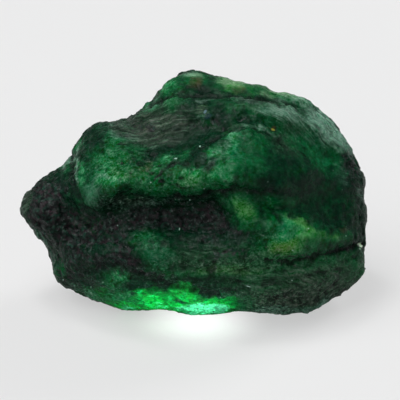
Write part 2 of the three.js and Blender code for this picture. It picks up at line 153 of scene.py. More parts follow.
# Where the black mica lies on the face: middle, half lengths, turn, and how much (below 0, none lies there)
MICA = [
    ((-18.6, 1.0), (4.0, 3.2), 10, -0.9),  # toe of the shoulder lump
    ((-17.0, 6.0), (5.0, 6.0), 12, -0.9),
    ((20.0, -6.0), (6.5, 3.4), -10, -0.9),  # lower lens
    ((9.4, -2.8), (3.8, 2.6), -40, -0.9),  # upper lens
    ((15.6, -8.6), (5.0, 1.8), 12, -0.9),
    ((-8.0, -9.0), (3.0, 3.6), 20, -0.9),  # teal boss
    ((-17.6, -9.2), (3.6, 1.3), -10, -0.55),  # left of it
    ((-30.0, -6.6), (7.0, 1.0), -62, -0.4),  # left rim, kept clear of mica for its painted light
    ((-32.0, -0.4), (1.3, 2.4), 0, -0.8),
    ((-28.5, -1.5), (6.0, 6.5), 0, 1.0),  # nose
    ((-20.5, -6.5), (9.0, 5.0), -20, 0.85),  # under the shoulder lump
    ((-5.5, -3.8), (12.5, 3.0), 2, 0.95),  # black hollow
    ((3.0, -4.5), (4.0, 3.0), -30, 0.75),
    ((-23.0, -12.5), (5.0, 4.6), -30, 0.55),  # left foot
    ((-13.0, -11.2), (6.5, 1.6), -18, 0.8),
    ((28.6, 6.2), (1.8, 4.6), 20, 0.7),  # dark edge of the right face
    ((31.0, -3.4), (1.2, 5.6), 4, 0.4),
    ((23.0, -10.0), (9.0, 0.8), 8, 0.7),  # groove under the lower lens
    ((-2.0, 12.5), (7.0, 1.2), 10, 0.3),  # left flank
    ((6.2, -10.2), (3.0, 1.4), 0, 0.72),
    ((8.2, -6.0), (2.8, 0.8), -16, 0.75),  # under the upper lens
    ((5.4, 14.0), (4.8, 1.3), 0, 0.4),  # above the great bulge, painted shade
    ((-9.0, 12.9), (3.0, 0.9), 0, 0.7),
    ((-5.6, 15.6), (2.0, 0.9), 0, 0.35),
    ((11.0, 1.4), (5.0, 0.7), 0, 0.5),
    ((18.4, 4.4), (2.0, 2.4), 20, 0.2),
    ((-12.8, 1.6), (1.1, 0.8), 20, 0.45),
]

# Where the green is bright: middle, half lengths, turn, and how bright
GREEN = [
    ((-15.0, 6.4), (3.4, 4.6), 10, 0.56),  # shoulder lump
    ((-19.4, 5.0), (3.2, 4.4), 10, 0.35),
    ((-21.8, 9.8), (1.2, 1.4), 0, 0.8),
    ((-24.2, 6.4), (0.9, 2.0), -20, 0.4),
    ((-13.6, 3.2), (3.6, 2.6), -16, 0.7),
    ((-7.8, 5.0), (4.0, 1.8), 6, 0.5),
    ((-1.0, 4.2), (4.0, 2.0), -6, 0.85),  # rolled edge
    ((4.8, 3.6), (2.6, 2.0), 20, 0.6),
    ((1.6, 1.9), (2.6, 0.8), 10, 0.5),
    ((-4.6, 2.2), (6.0, 1.8), -4, 0.6),
    ((-9.0, 2.8), (2.6, 1.4), -10, 0.5),
    ((6.8, 8.6), (2.4, 4.6), -24, 0.72),  # left of the great bulge
    ((11.4, 8.0), (4.4, 4.6), -10, 0.42),
    ((3.2, 7.8), (1.6, 1.2), 30, 0.85),
    ((8.6, 3.8), (1.6, 1.2), 0, 0.4),
    ((9.4, -2.4), (4.7, 2.9), -42, 0.88),  # upper lens
    ((16.0, -0.8), (3.6, 1.4), -10, 0.2),
    ((17.8, -6.4), (4.7, 2.7), -12, 1.0),  # lower lens
    ((13.2, -1.2), (1.6, 1.2), 0, 0.7),
    ((15.8, -8.8), (5.4, 2.3), 12, 0.85),
    ((24.4, -7.4), (3.6, 1.2), -4, 0.55),  # its tail
    ((-9.2, -7.8), (2.6, 3.6), 30, 0.3),  # teal boss
    ((-6.4, -11.0), (3.6, 2.6), -30, 0.5),
    ((-14.8, -14.6), (2.4, 1.6), 0, 0.6),
    ((-20.0, 0.4), (2.2, 2.6), 10, 0.35),  # toe of the shoulder lump
    ((-20.0, -4.8), (2.6, 1.4), 0, 0.35),
    ((-25.0, -13.2), (1.8, 1.8), 0, 0.6),
    ((-3.6, 19.8), (4.0, 3.0), 30, 0.52),  # crest
    ((-6.0, 17.0), (3.0, 1.6), 20, 0.35),
    ((-8.8, 17.4), (1.6, 1.0), 40, 0.7),
    ((-14.0, 10.8), (2.8, 1.2), 0, 0.6),  # left flank
    ((-10.8, 8.8), (1.6, 1.2), 0, 0.4),
    ((-2.2, 8.0), (1.6, 1.0), 20, 0.4),
    ((-5.6, 7.0), (1.8, 1.0), 20, 0.4),
    ((7.0, 21.0), (9.0, 2.0), -14, 0.6),
    ((17.6, 18.6), (5.0, 1.4), -22, 0.6),
    ((6.0, 17.2), (4.0, 1.2), -4, 0.15),  # shoulder
    ((2.6, 13.8), (2.0, 1.2), 0, 0.35),
    ((12.0, 16.0), (8.0, 1.8), -16, 0.4),
    ((19.5, 12.0), (6.5, 2.6), -28, 0.6),
    ((-14.0, -19.0), (6.0, 2.4), -4, 0.5),  # foot
    ((-19.6, -18.4), (3.0, 1.2), -24, 0.6),
    ((22.0, 1.0), (9.0, 8.0), 0, 0.12),  # right face
    ((24.0, 7.2), (2.8, 2.2), -30, 0.45),
    ((20.0, -14.6), (12.0, 4.6), 6, 0.8),  # foliated foot
    ((6.0, -11.6), (12.0, 3.0), 0, 0.5),  # belly
    ((3.4, -13.5), (8.0, 1.1), 2, 0.8),
    ((30.5, -14.6), (1.6, 2.0), 0, 0.5),
    ((8.6, -20.4), (2.2, 1.2), 0, 0.4),
]

# Where the green is dark: its own colour in most places, and painted shade above the great bulge
DARK_GREEN_AND_SHADE = [
    ((-19.0, 9.8), (1.2, 1.2), 0, 0.7),  # shoulder lump
    ((-20.7, 7.8), (1.0, 1.7), 10, 0.75),
    ((-16.8, 8.8), (1.0, 0.9), 0, 0.6),
    ((6.6, 16.8), (2.2, 0.8), 0, 0.35),  # shoulder
    ((6.6, 14.2), (6.0, 1.0), 0, 0.75),  # above the great bulge, painted shade
    ((2.8, -17.6), (1.6, 0.9), 0, 0.4),  # foot
    ((-12.8, 1.5), (1.3, 1.0), 20, 0.6),  # notch by the shoulder lump
    ((3.2, 21.8), (1.6, 1.6), 0, 0.75),  # crest
    ((10.0, 17.9), (5.0, 0.8), -8, 0.8),
    ((-5.6, 4.2), (0.8, 1.4), -50, 0.7),
    ((2.9, 5.2), (0.8, 1.2), 10, 0.8),
    ((8.4, 9.6), (1.0, 1.6), 20, 0.45),  # great bulge
    ((14.6, 6.0), (2.6, 3.8), 0, 0.7),
    ((11.6, -4.4), (0.9, 1.8), -42, 0.55),  # upper lens
    ((11.3, -2.4), (1.0, 1.5), 0, 0.8),
    ((22.4, -3.2), (2.2, 0.8), -20, 0.5),
    ((17.6, -3.4), (0.5, 1.6), 50, 0.6),  # lower lens
    ((14.0, -3.2), (2.3, 0.5), -54, 0.75),  # between the lenses
    ((0.4, 19.4), (2.4, 1.4), -10, 0.6),
]

# Where the green is lightest, with painted highlights on the shoulder lump, the rolled edge,
# the great bulge and the lower lens, and painted light on the foliated foot
LIGHT_AND_HIGHLIGHTS = [
    ((-17.0, 2.6), (1.7, 0.7), 10, 0.5),  # shoulder lump, with a painted highlight
    ((-5.2, 7.0), (1.4, 0.7), 20, 0.5),
    ((-15.2, 8.2), (1.1, 1.2), 20, 0.35),
    ((-14.0, 3.6), (1.6, 0.9), -20, 0.45),
    ((-21.6, 4.6), (0.8, 3.2), 0, 0.6),
    ((-1.0, 5.2), (1.6, 0.8), -8, 0.9),  # rolled edge, painted highlights
    ((6.0, 3.3), (1.0, 0.8), 30, 0.8),
    ((3.4, 3.2), (1.4, 0.8), 20, 0.5),
    ((6.2, 8.8), (1.0, 2.6), -32, 0.4),  # great bulge, painted highlight along its left edge
    ((7.4, 11.0), (1.0, 1.4), -30, 0.7),
    ((7.0, 20.4), (1.8, 0.8), -10, 0.9),  # crest
    ((8.3, -1.6), (2.1, 1.8), -36, 0.52),  # upper lens
    ((13.0, -1.4), (1.2, 1.0), 0, 0.3),
    ((10.4, -4.8), (1.6, 1.0), -30, 0.3),
    ((18.6, -6.4), (1.8, 1.2), -20, 0.9),  # lower lens, with painted highlights
    ((17.8, -4.4), (2.0, 1.1), -10, 0.8),
    ((20.0, -5.1), (2.0, 0.9), -41, 0.55),
    ((15.8, -7.2), (2.0, 1.6), 10, 0.85),
    ((16.4, -9.2), (3.8, 1.8), 12, 0.85),
    ((24.4, -7.4), (1.8, 0.7), -10, 0.4),
    ((20.0, -14.6), (12.0, 4.6), 6, 0.36),  # foliated foot, painted light
    ((5.0, -11.6), (10.0, 3.0), 0, 0.2),  # belly
    ((4.4, -13.3), (8.0, 1.0), 2, 0.4),
    ((-9.2, -7.2), (1.6, 2.6), 30, 0.3),  # teal boss
    ((-6.6, -10.6), (2.2, 1.6), -30, 0.3),
    ((-15.0, -14.8), (1.4, 0.9), 0, 0.6),
    ((-5.4, 17.2), (0.9, 0.8), 0, 0.5),  # crest
    ((-5.2, 20.8), (1.6, 1.0), 45, 0.6),
    ((-1.0, 22.6), (1.6, 0.8), 0, 0.6),
]

# Smooth areas (below 0, rougher ones)
SMOOTH = [
    ((22.0, 3.0), (10.0, 7.5), -10, 1.0),  # right face
    ((-19.8, 0.0), (2.8, 3.4), 0, 1.0),  # toe of the shoulder lump
    ((10.0, 8.0), (5.0, 4.6), -20, 0.4),  # great bulge
    ((6.0, 20.6), (12.0, 2.6), -14, 0.8),  # crest
    ((9.4, -2.8), (4.0, 3.0), -40, 0.4),  # upper lens
    ((20.0, -6.0), (5.0, 3.0), -10, 0.7),  # lower lens
    ((27.0, -7.0), (4.0, 2.0), -4, 0.9),  # its tail
    ((-14.6, 5.4), (4.6, 4.6), 0, -0.45),  # shoulder lump, crisper than the rest
    ((-4.0, 4.0), (6.0, 2.6), -4, -0.5),  # rolled edge
]

# Clear green of the foot, painted bright as the glow of the lamp's light shining through it; the lamp
# lights it as well
GLASS_GLOW = [
    ((-3.0, -19.0), (1.2, 0.6), -20, -0.5),  # less here
    ((3.6, -17.8), (2.0, 0.8), 0, -0.6),
    ((-7.2, -19.3), (2.8, 1.9), -4, 1.0),
    ((-10.8, -18.0), (2.6, 1.6), -10, 0.3),
    ((-9.4, -16.9), (1.4, 0.9), 0, 0.85),
    ((-2.4, -17.6), (2.6, 1.5), -10, 0.9),
    ((-4.4, -20.0), (3.0, 1.0), 0, 0.66),
    ((2.4, -20.1), (5.0, 2.1), 0, 1.0),
    ((-12.8, -20.2), (3.4, 1.1), -6, 0.9),
    ((-18.0, -17.4), (3.0, 1.4), -22, 0.25),
]
# The brightest middle of the painted glow
GLOW_CORE = [
    ((3.0, -21.0), (3.0, 1.0), 4, 0.85),
    ((-6.0, -20.3), (2.2, 0.6), 0, 0.3),
    ((4.8, -20.6), (1.4, 0.8), 10, 0.7),
    ((-12.8, -20.5), (2.2, 0.7), -4, 0.5),
    ((-0.4, -20.0), (1.7, 1.2), 0, 0.9),
    ((-1.9, -21.0), (1.8, 0.6), 0, 0.7),
]

# Pale green: weathered stone in places, painted sheen on the right shoulder and the crest, and painted
# light on the rims, along the lower edge and under the rolled edge
PALE_AND_SHEEN = [
    ((24.6, 12.6), (6.4, 2.4), -42, 1.0),  # right shoulder, painted sheen
    ((21.2, 16.6), (3.0, 1.6), -30, -0.55),  # less here
    ((11.6, 17.6), (3.4, 0.9), -12, -0.6),
    ((26.2, 9.0), (1.8, 1.2), -50, -0.65),
    ((28.6, 9.6), (0.9, 1.8), 30, 0.5),
    ((30.4, 0.8), (0.9, 1.8), 0, 0.4),
    ((27.4, 4.0), (1.6, 3.4), 12, 0.3),
    ((15.4, 15.8), (7.6, 1.4), -20, 0.72),
    ((27.0, 11.4), (1.2, 1.4), -50, 0.4),
    ((19.2, 11.6), (3.0, 1.0), -24, 0.35),
    ((13.6, 15.2), (2.0, 0.8), -14, 0.5),
    ((23.8, 14.8), (2.8, 1.3), -42, 0.75),
    ((6.8, 21.6), (3.0, 1.2), -18, 1.0),  # crest, with painted sheen
    ((13.4, 20.4), (4.0, 0.7), -18, 0.4),
    ((13.2, 18.8), (2.2, 0.7), -16, 0.6),
    ((18.0, 19.1), (4.2, 0.9), -22, 1.0),
    ((3.6, 19.8), (1.4, 0.9), 0, 0.35),
    ((-0.6, 23.0), (2.2, 1.0), 0, 0.9),
    ((-19.2, 0.9), (2.6, 3.0), 10, 0.38),  # toe of the shoulder lump
    ((-13.4, 11.2), (3.2, 0.9), -6, 0.85),
    ((6.8, 11.0), (2.2, 0.6), 50, 0.4),
    ((0.8, 15.6), (1.8, 0.9), 10, 0.35),
    ((-10.0, -0.8), (6.0, 0.9), 2, 0.45),  # under the rolled edge, painted light in its shade
    ((-14.0, 13.4), (4.0, 1.0), 0, 0.5),  # left flank
    ((-8.2, 17.8), (2.4, 0.8), 45, 0.42),  # edge left of the crest
    ((-28.4, -9.4), (6.6, 1.0), -62, 0.38),  # left rim, painted light
    ((-32.0, -0.8), (1.0, 2.4), 0, 0.3),
    ((-20.6, -18.0), (3.4, 0.9), -28, 0.35),
    ((15.6, -21.3), (9.6, 1.3), 5, 0.55),  # lower edge on the right, painted light from below
    ((22.8, -20.0), (3.4, 1.3), 30, 0.8),
]

# Blue-green above 0, olive below
TONE = [
    ((-20.4, 3.2), (2.2, 5.0), 0, 0.7),
    ((-19.4, 10.6), (3.0, 2.6), 0, 0.7),
    ((8.6, 8.6), (3.6, 4.2), 0, 0.55),
    ((-7.6, -9.0), (4.4, 4.6), 0, 0.8),
    ((16.2, -6.4), (2.0, 1.8), 0, 0.6),
    ((21.4, -5.2), (4.0, 2.4), -20, -0.6),
    ((17.0, -3.0), (3.0, 1.2), -10, -0.5),
    ((-28.0, -12.0), (8.0, 9.0), 0, 0.6),
    ((24.0, 12.0), (6.0, 4.0), -40, 0.6),
    ((24.0, 3.0), (9.0, 8.0), 0, 0.3),
    ((16.0, -9.3), (4.6, 2.0), 14, -0.8),
    ((8.8, -2.0), (3.4, 2.4), -38, -0.5),
    ((26.0, -6.2), (3.6, 1.6), 0, -0.6),
    ((-12.0, 5.6), (4.0, 3.0), 0, -0.4),
    ((-1.0, 3.4), (4.0, 1.8), 0, -0.4),
    ((3.0, 17.0), (7.0, 1.6), 0, -0.6),
    ((9.0, 20.5), (12.0, 2.4), -14, -0.5),
    ((5.0, -13.4), (8.0, 1.2), 0, -0.5),
]

# Rusty brown stains
RUST = [
    ((-0.2, 21.2), (1.6, 1.4), 0, 0.7),
    ((8.0, 19.9), (1.2, 0.8), 0, 0.6),
    ((-9.4, 5.6), (1.4, 2.0), -20, 0.5),
    ((15.8, -9.6), (3.6, 1.3), 6, 0.55),
    ((26.4, -6.2), (1.6, 1.0), 0, 0.4),
    ((14.2, 12.9), (0.6, 0.3), -30, 1.0),
]

# Grey beds of mica schist that show as streaks
STREAKS = [
    ((-18.6, 8.0), (4.2, 5.6), 10, -0.95),  # not on the shoulder lump
    ((6.8, 14.6), (5.2, 1.5), -4, -0.9),  # nor above the great bulge
    ((10.2, 14.8), (3.0, 0.9), -10, -0.6),
    ((17.4, -21.3), (9.0, 1.5), 6, -0.75),  # nor along the lower edge, where painted light lies
    ((22.8, -19.4), (3.2, 1.3), 30, -0.5),
    ((-8.8, 13.0), (9.2, 3.4), 6, 1.0),
    ((20.6, -16.2), (12.0, 4.8), 6, 0.75),
    ((19.4, -18.4), (8.0, 1.9), 8, 0.85),
    ((17.0, 14.8), (11.0, 2.4), -24, 0.4),
    ((3.0, -11.6), (11.0, 4.0), -4, 0.5),
    ((7.6, 13.0), (4.4, 0.6), 8, 0.7),
    ((16.6, 10.0), (3.4, 1.8), -40, 0.4),
    ((-11.4, -0.4), (4.0, 1.0), 2, 0.6),  # under the shoulder lump
    ((-14.0, 12.2), (6.0, 1.5), 0, 0.45),
    ((-31.7, -0.2), (1.3, 3.0), 0, 0.75),  # left rim, painted grey reflection
]


# Noise

def lattice_numbers(cells, seed):
    """One fixed number from -1 to 1 for each whole-numbered place."""
    x, y, z = (cells[:, axis].astype(np.uint32) for axis in range(3))
    bits = x * np.uint32(374761393) + y * np.uint32(668265263) + z * np.uint32(2246822519)
    bits += np.uint32(seed * 3266489917 % 2**32)
    bits = (bits ^ (bits >> np.uint32(13))) * np.uint32(1274126177)
    bits ^= bits >> np.uint32(16)
    return bits.astype(np.float64) / 2**31 - 1


def smooth_noise(places, seed):
    """Smooth noise from -1 to 1, one unit from lump to lump."""
    whole = np.floor(places)
    part = places - whole
    ease = part * part * part * (part * (part * 6 - 15) + 10)
    cells = whole.astype(np.int64)
    total = np.zeros(len(places))
    for corner in range(8):
        step = np.array([corner & 1, corner >> 1 & 1, corner >> 2 & 1])
        share = np.prod(np.where(step, ease, 1 - ease), axis=1)
        total += share * lattice_numbers(cells + step, seed)
    return total


def layered_noise(places, seed, octaves=3):
    """Smooth noise with finer and fainter noise on top of it."""
    total = np.zeros(len(places))
    for octave in range(octaves):
        total += smooth_noise(places * 2.03**octave, seed + octave) * 0.5**octave
    return total


def cell_noise(places, seed):
    """Nearest of the points scattered one to a cell: its distance, its own numbers, and the way from it."""
    whole = np.floor(places).astype(np.int64)
    nearest = np.full(len(places), 9.0)
    numbers = np.zeros((len(places), 3))
    offset = np.zeros((len(places), 3))
    for k in range(27):
        cell = whole + np.array([k % 3 - 1, k // 3 % 3 - 1, k // 9 - 1])
        own = np.stack([lattice_numbers(cell, seed + axis) for axis in range(3)], axis=1)
        away = places - (cell + 0.5 + own * 0.45)
        distance = np.linalg.norm(away, axis=1)
        closer = distance < nearest
        nearest[closer] = distance[closer]
        numbers[closer] = own[closer]
        offset[closer] = away[closer]
    return nearest, numbers, offset


def smoothstep(low, high, value):
    """Soft step from 0 at low to 1 at high, which may lie either way round."""
    share = np.clip((value - low) / (high - low), 0, 1)
    return share * share * (3 - 2 * share)


# Places on the stone

def along_face(vectors):
    """How far each vector goes across the face, up it and out of it."""
    lean_sin, lean_cos = math.sin(LEAN), math.cos(LEAN)
    across = vectors[:, 0]
    up = vectors[:, 1] * lean_sin + vectors[:, 2] * lean_cos
    out = vectors[:, 2] * lean_sin - vectors[:, 1] * lean_cos
    return across, up, out


class Place:
    """Where each point of the surface lies, in millimetres, on the face and along its folded beds."""

    def __init__(self, points, normals):
        self.points = points
        self.across, self.up, self.out = along_face(points - FACE_MIDDLE)
        self.front = on_front(self.out)
        self.bed = bed_height(self.across, self.up, self.out)
        self.cut = self.bed_cut(normals)
        self.wander = 0.7 * layered_noise(points / 1.7, 101, 2)
        self.bent_across = self.across + BENT * layered_noise(points / 1.5, 111, 2)
        self.bent_up = self.up + BENT * layered_noise(points / 1.5, 121, 2)
        ragged = np.stack([self.across / 3.4, self.bed / 2.4, self.out / 3.4], axis=1)
        self.ragged_across = self.across + RAGGED[0] * layered_noise(ragged, 7, 4)
        self.ragged_up = self.up + RAGGED[1] * layered_noise(ragged, 8, 4)

    def bed_cut(self, normals):
        """How far the surface cuts across the beds, from 0 where it lies along them to 1."""
        step = 0.3
        steepest = []
        for dx, dy, dz in np.eye(3) * step:
            there = bed_height(self.across + dx, self.up + dy, self.out + dz)
            steepest.append((there - self.bed) / step)
        facing = np.sum(np.stack(along_face(normals)) * steepest, axis=0)
        return smoothstep(0.96, 0.62, np.abs(facing) / np.linalg.norm(steepest, axis=0))

    def along_beds(self, stretch):
        """Places squeezed along the beds, so that noise there draws out into streaks."""
        return np.stack([self.across * stretch, self.bed, self.out * stretch], axis=1)


def on_front(out):
    """How much each point belongs to the broad face and its rim, by how far out it lies."""
    return smoothstep(-4.0, 1.5, out)


def bed_height(across, up, out):
    """Height across the folded beds. They arch over the lumps and bend down to the right."""
    bed = up + 0.10 * across - 0.45 * out
    bed += 0.017 * np.maximum(across, 0) ** 2 * smoothstep(-4.0, 14.0, up)
    for at, size, turn, lift in FOLDS:
        bed -= lift * oval(across, up, at, size, turn) * on_front(out)
    return bed + 2.2 * smooth_noise(np.stack([across / 17, up / 12, out / 12], axis=1), 5)


def oval(across, up, at, size, turn):
    """How much each point belongs to a soft-edged oval of the face, from 0 to 1."""
    angle = math.radians(turn)
    dx, dy = across - at[0], up - at[1]
    along = (dx * math.cos(angle) + dy * math.sin(angle)) / size[0]
    over = (dy * math.cos(angle) - dx * math.sin(angle)) / size[1]
    return np.exp(-((along * along + over * over) ** 1.4))


def near_line(place, line):
    """Distance from each point to a line drawn on the face, and how far past the line's ends it is."""
    nearest = np.full(len(place.across), 1e9)
    past_end = np.zeros(len(place.across))
    for i, (start, end) in enumerate(zip(line, line[1:])):
        length = math.hypot(end[0] - start[0], end[1] - start[1])
        ux, uy = (end[0] - start[0]) / length, (end[1] - start[1]) / length
        dx, dy = place.bent_across - start[0], place.bent_up - start[1]
        along = dx * ux + dy * uy
        past = np.maximum(np.maximum(-along, along - length), 0)
        distance = np.hypot(dy * ux - dx * uy, past)
        closer = distance < nearest
        nearest[closer] = distance[closer]
        past_end[closer] = past[closer] if i in (0, len(line) - 2) else 0
    return nearest, past_end


def line_share(place, line, width, fade=1.5):
    """How much each point belongs to a thin wandering line of the face, fading out past its ends."""
    distance, past_end = near_line(place, line)
    wandered = np.maximum(distance + place.wander * width, 0)
    return np.exp(-np.square(wandered / width) - np.square(past_end / fade)) * place.front


def gather(place, table):
    """All the ovals of a table together, from 0 to 1 (or from -1, where the table goes below 0)."""
    total = np.zeros(len(place.across))
    for at, size, turn, amount in table:
        layer = oval(place.ragged_across, place.ragged_up, at, size, turn) * amount
        total = total + layer * (1 - np.abs(total))
    return total


def strongest(place, lines, widen=1.0):
    """The strongest of a table's lines at each point, by the amount that the table gives it."""
    total = np.zeros(len(place.across))
    for line, width, amount in lines:
        total = np.maximum(total, amount * line_share(place, line, width * widen))
    return total


def broad(place, seed, span, low, high):
    """Large soft areas over the whole stone, for the sides that the face's tables don't reach."""
    spots = np.stack([place.across / span, place.bed / (span * 0.45), place.out / span], axis=1)
    return smoothstep(low, high, layered_noise(spots, seed))


def mix(face, rest, front):
    """One share on the broad face, and another on the rest of the stone."""
    return rest + (face - rest) * front


# Fine surface

def colour_shares(place):
    """How much of each colour lies at each point."""
    front = place.front
    clear = 1 - gather(place, DARK_GREEN_AND_SHADE)
    return {
        "mica": mix(gather(place, MICA), 0.9 * broad(place, 21, 11, -0.15, 0.55), front),
        "green": mix(gather(place, GREEN) * clear, 0.8 * broad(place, 31, 9, 0.0, 0.7), front),
        "pale": mix(gather(place, PALE_AND_SHEEN), 0.45 * broad(place, 41, 8, 0.35, 0.9), front),
        "tone": mix(gather(place, TONE), broad(place, 51, 10, -0.6, 0.6) * 1.2 - 0.4, front),
        "rust": mix(gather(place, RUST), 0.5 * broad(place, 55, 5, 0.7, 1.1), front),
        "streaks": mix(gather(place, STREAKS), broad(place, 61, 12, -0.2, 0.6), front),
        "light": gather(place, LIGHT_AND_HIGHLIGHTS) * clear * front,
        "glass_glow": gather(place, GLASS_GLOW) * front,
        "glow_core": gather(place, GLOW_CORE) * front,
        "smooth": gather(place, SMOOTH) * front,
        "crease_shade": strongest(place, CREASES, 1.2),
        "vein": strongest(place, VEINS_AND_HIGHLIGHTS),
        "cut": place.cut,
    }


def facets(places, seed):
    """Flat chips, each tilted its own way."""
    _, tilt, away = cell_noise(places, seed)
    return np.sum(tilt * away, axis=1)


def relief(place, shares):
    """How far the fine surface stands out from the body, and how much of that is its roughness."""
    points = place.points
    even = 1 - 0.75 * np.maximum(shares["smooth"], 0)
    rough = np.maximum(shares["mica"], 0.8 * (1 - place.front)) * even
    beds = layered_noise(place.along_beds(0.16) * 0.8, 3, 3)
    depth = 0.05 + 0.04 * rough + 0.24 * np.maximum(shares["streaks"], 0)
    height = depth * (0.5 - np.abs(beds)) * place.cut
    height += 0.26 * even * (0.5 - np.abs(layered_noise(points / 1.9, 14, 3)))
    height += (0.08 * even + 0.36 * rough) * facets(points / SMALL_CHIPS, 81)
    near, own, _ = cell_noise(points / PITS, 91)
    pits = np.clip(1 - near / 0.42, 0, 1) * (own[:, 0] > -0.1)
    height -= (0.03 + 0.24 * rough) * pits
    height += 0.10 * rough * smooth_noise(points / 0.7, 95)
    creases = strongest(place, CREASES)
    roughness = height - 0.6 * creases

    height += 0.24 * even * layered_noise(points / 4.0, 11, 2)
    height += (0.14 * even + 0.46 * rough) * facets(points / LARGE_CHIPS, 71)
    for line, width, rise in RIDGES:
        height += rise * line_share(place, line, width, 3.0)
    return height - creases, roughness


def add_object(name, data):
    made = bpy.data.objects.new(name, data)
    bpy.context.scene.collection.objects.link(made)
    return made


def fine_mesh(body):
    """The body's mesh, rounded a little and cut into small even squares."""
    draft = add_object("draft", body.data.copy())
    weld = draft.modifiers.new("weld", "WELD")
    weld.merge_threshold = 0.001 * MM
    rounding = draft.modifiers.new("rounding", "SUBSURF")
    rounding.levels = rounding.render_levels = 1
    even = draft.modifiers.new("even", "REMESH")
    even.mode = "VOXEL"
    even.voxel_size = GRAIN * MM
    evaluated = draft.evaluated_get(bpy.context.evaluated_depsgraph_get())
    mesh = bpy.data.meshes.new_from_object(evaluated)
    bpy.data.objects.remove(draft)
    mesh.name = "emerald_surface"
    return mesh


def read_vectors(items, name):
    values = np.empty(len(items) * 3)
    items.foreach_get(name, values)
    return values.reshape(-1, 3)


def add_share(mesh, name, values):
    attribute = mesh.attributes.new(name, "FLOAT", "POINT")
    attribute.data.foreach_set("value", values.astype(np.float32))


def add_place(mesh, name, *axes):
    attribute = mesh.attributes.new(name, "FLOAT_VECTOR", "POINT")
    attribute.data.foreach_set("vector", np.stack(axes, axis=1).astype(np.float32).ravel())


def make_stone(body):
    """The stone as it is seen: the body with its fine surface and the shares of its colours."""
    mesh = fine_mesh(body)
    points = read_vectors(mesh.vertices, "co") / MM
    normals = read_vectors(mesh.vertex_normals, "vector")
    place = Place(points, normals)
    shares = colour_shares(place)
    height, roughness = relief(place, shares)
    # low places of the fine relief, which the colours darken as painted shade
    shares["hollow"] = smoothstep(0.10, -0.22, roughness)
    height *= smoothstep(0.05, REST_ZONE, points[:, 2])
    points = points + normals * height[:, None]
    points[:, 2] = np.maximum(points[:, 2], 0)
    mesh.vertices.foreach_set("co", (points * MM).ravel())
    for name, values in shares.items():
        add_share(mesh, name, values)
    crinkled = place.bed + 0.4 * layered_noise(points / 2.4, 131, 2)
    add_place(mesh, "rock_place", place.across, crinkled, place.out)
    add_place(mesh, "face_place", place.across, place.up, place.out)
    mesh.shade_smooth()
    mesh.update()
    mesh.materials.clear()
    mesh.materials.append(emerald_material())
    stone = add_object("rough_emerald_surface", mesh)
    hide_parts("rough_emerald")
    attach(stone, "root")
    return stone


# Materials

def linear(red, green, blue):
    """A colour as picked on screen, from 0 to 255, as Blender's linear colour."""
    values = [channel / 255 for channel in (red, green, blue)]
    return (*(v / 12.92 if v <= 0.04045 else ((v + 0.055) / 1.055) ** 2.4 for v in values), 1.0)


DEEP_GREEN = linear(2, 41, 25)
MIDDLE_GREEN = linear(5, 86, 46)
BRIGHT_GREEN = linear(28, 130, 74)
TEAL = linear(28, 116, 88)
OLIVE = linear(78, 120, 46)
PALE_AND_SHEEN_GREEN = linear(120, 166, 143)
PALE_AND_SHEEN_OLIVE = linear(122, 164, 122)
LIGHT_GREEN_AND_HIGHLIGHT = linear(68, 172, 108)
LIGHT_OLIVE_AND_HIGHLIGHT = linear(104, 182, 88)
VEIN_AND_HIGHLIGHT_PALE = linear(132, 172, 150)
GLASS_DARK = linear(0, 46, 20)
# Painted glow of the lamp's light through the clear foot, from its deep edge to its whitish middle
GLOW_DEEP = linear(0, 84, 32)
GLOW_GREEN = linear(0, 139, 44)
GLOW_LIGHT = linear(4, 168, 78)
GLOW_WHITE = linear(66, 192, 132)
RUSTY = linear(78, 72, 44)
SCHIST = linear(52, 72, 57)
SCHIST_GREY = linear(112, 120, 108)
SCHIST_DARK = linear(28, 35, 30)
# painted shade in low places, and the dark hairs along the beds
SHADE_AND_HAIR_DARK = linear(13, 26, 19)
LIGHT_HAIR = linear(110, 158, 124)
MICA_AND_SHADE_BLACK = linear(20, 25, 24)
MICA_GREEN = linear(14, 60, 44)
MICA_PURPLE = linear(50, 34, 42)
MICA_GLINT_GREY = linear(78, 88, 84)
GLINT_WHITE = linear(180, 215, 200)


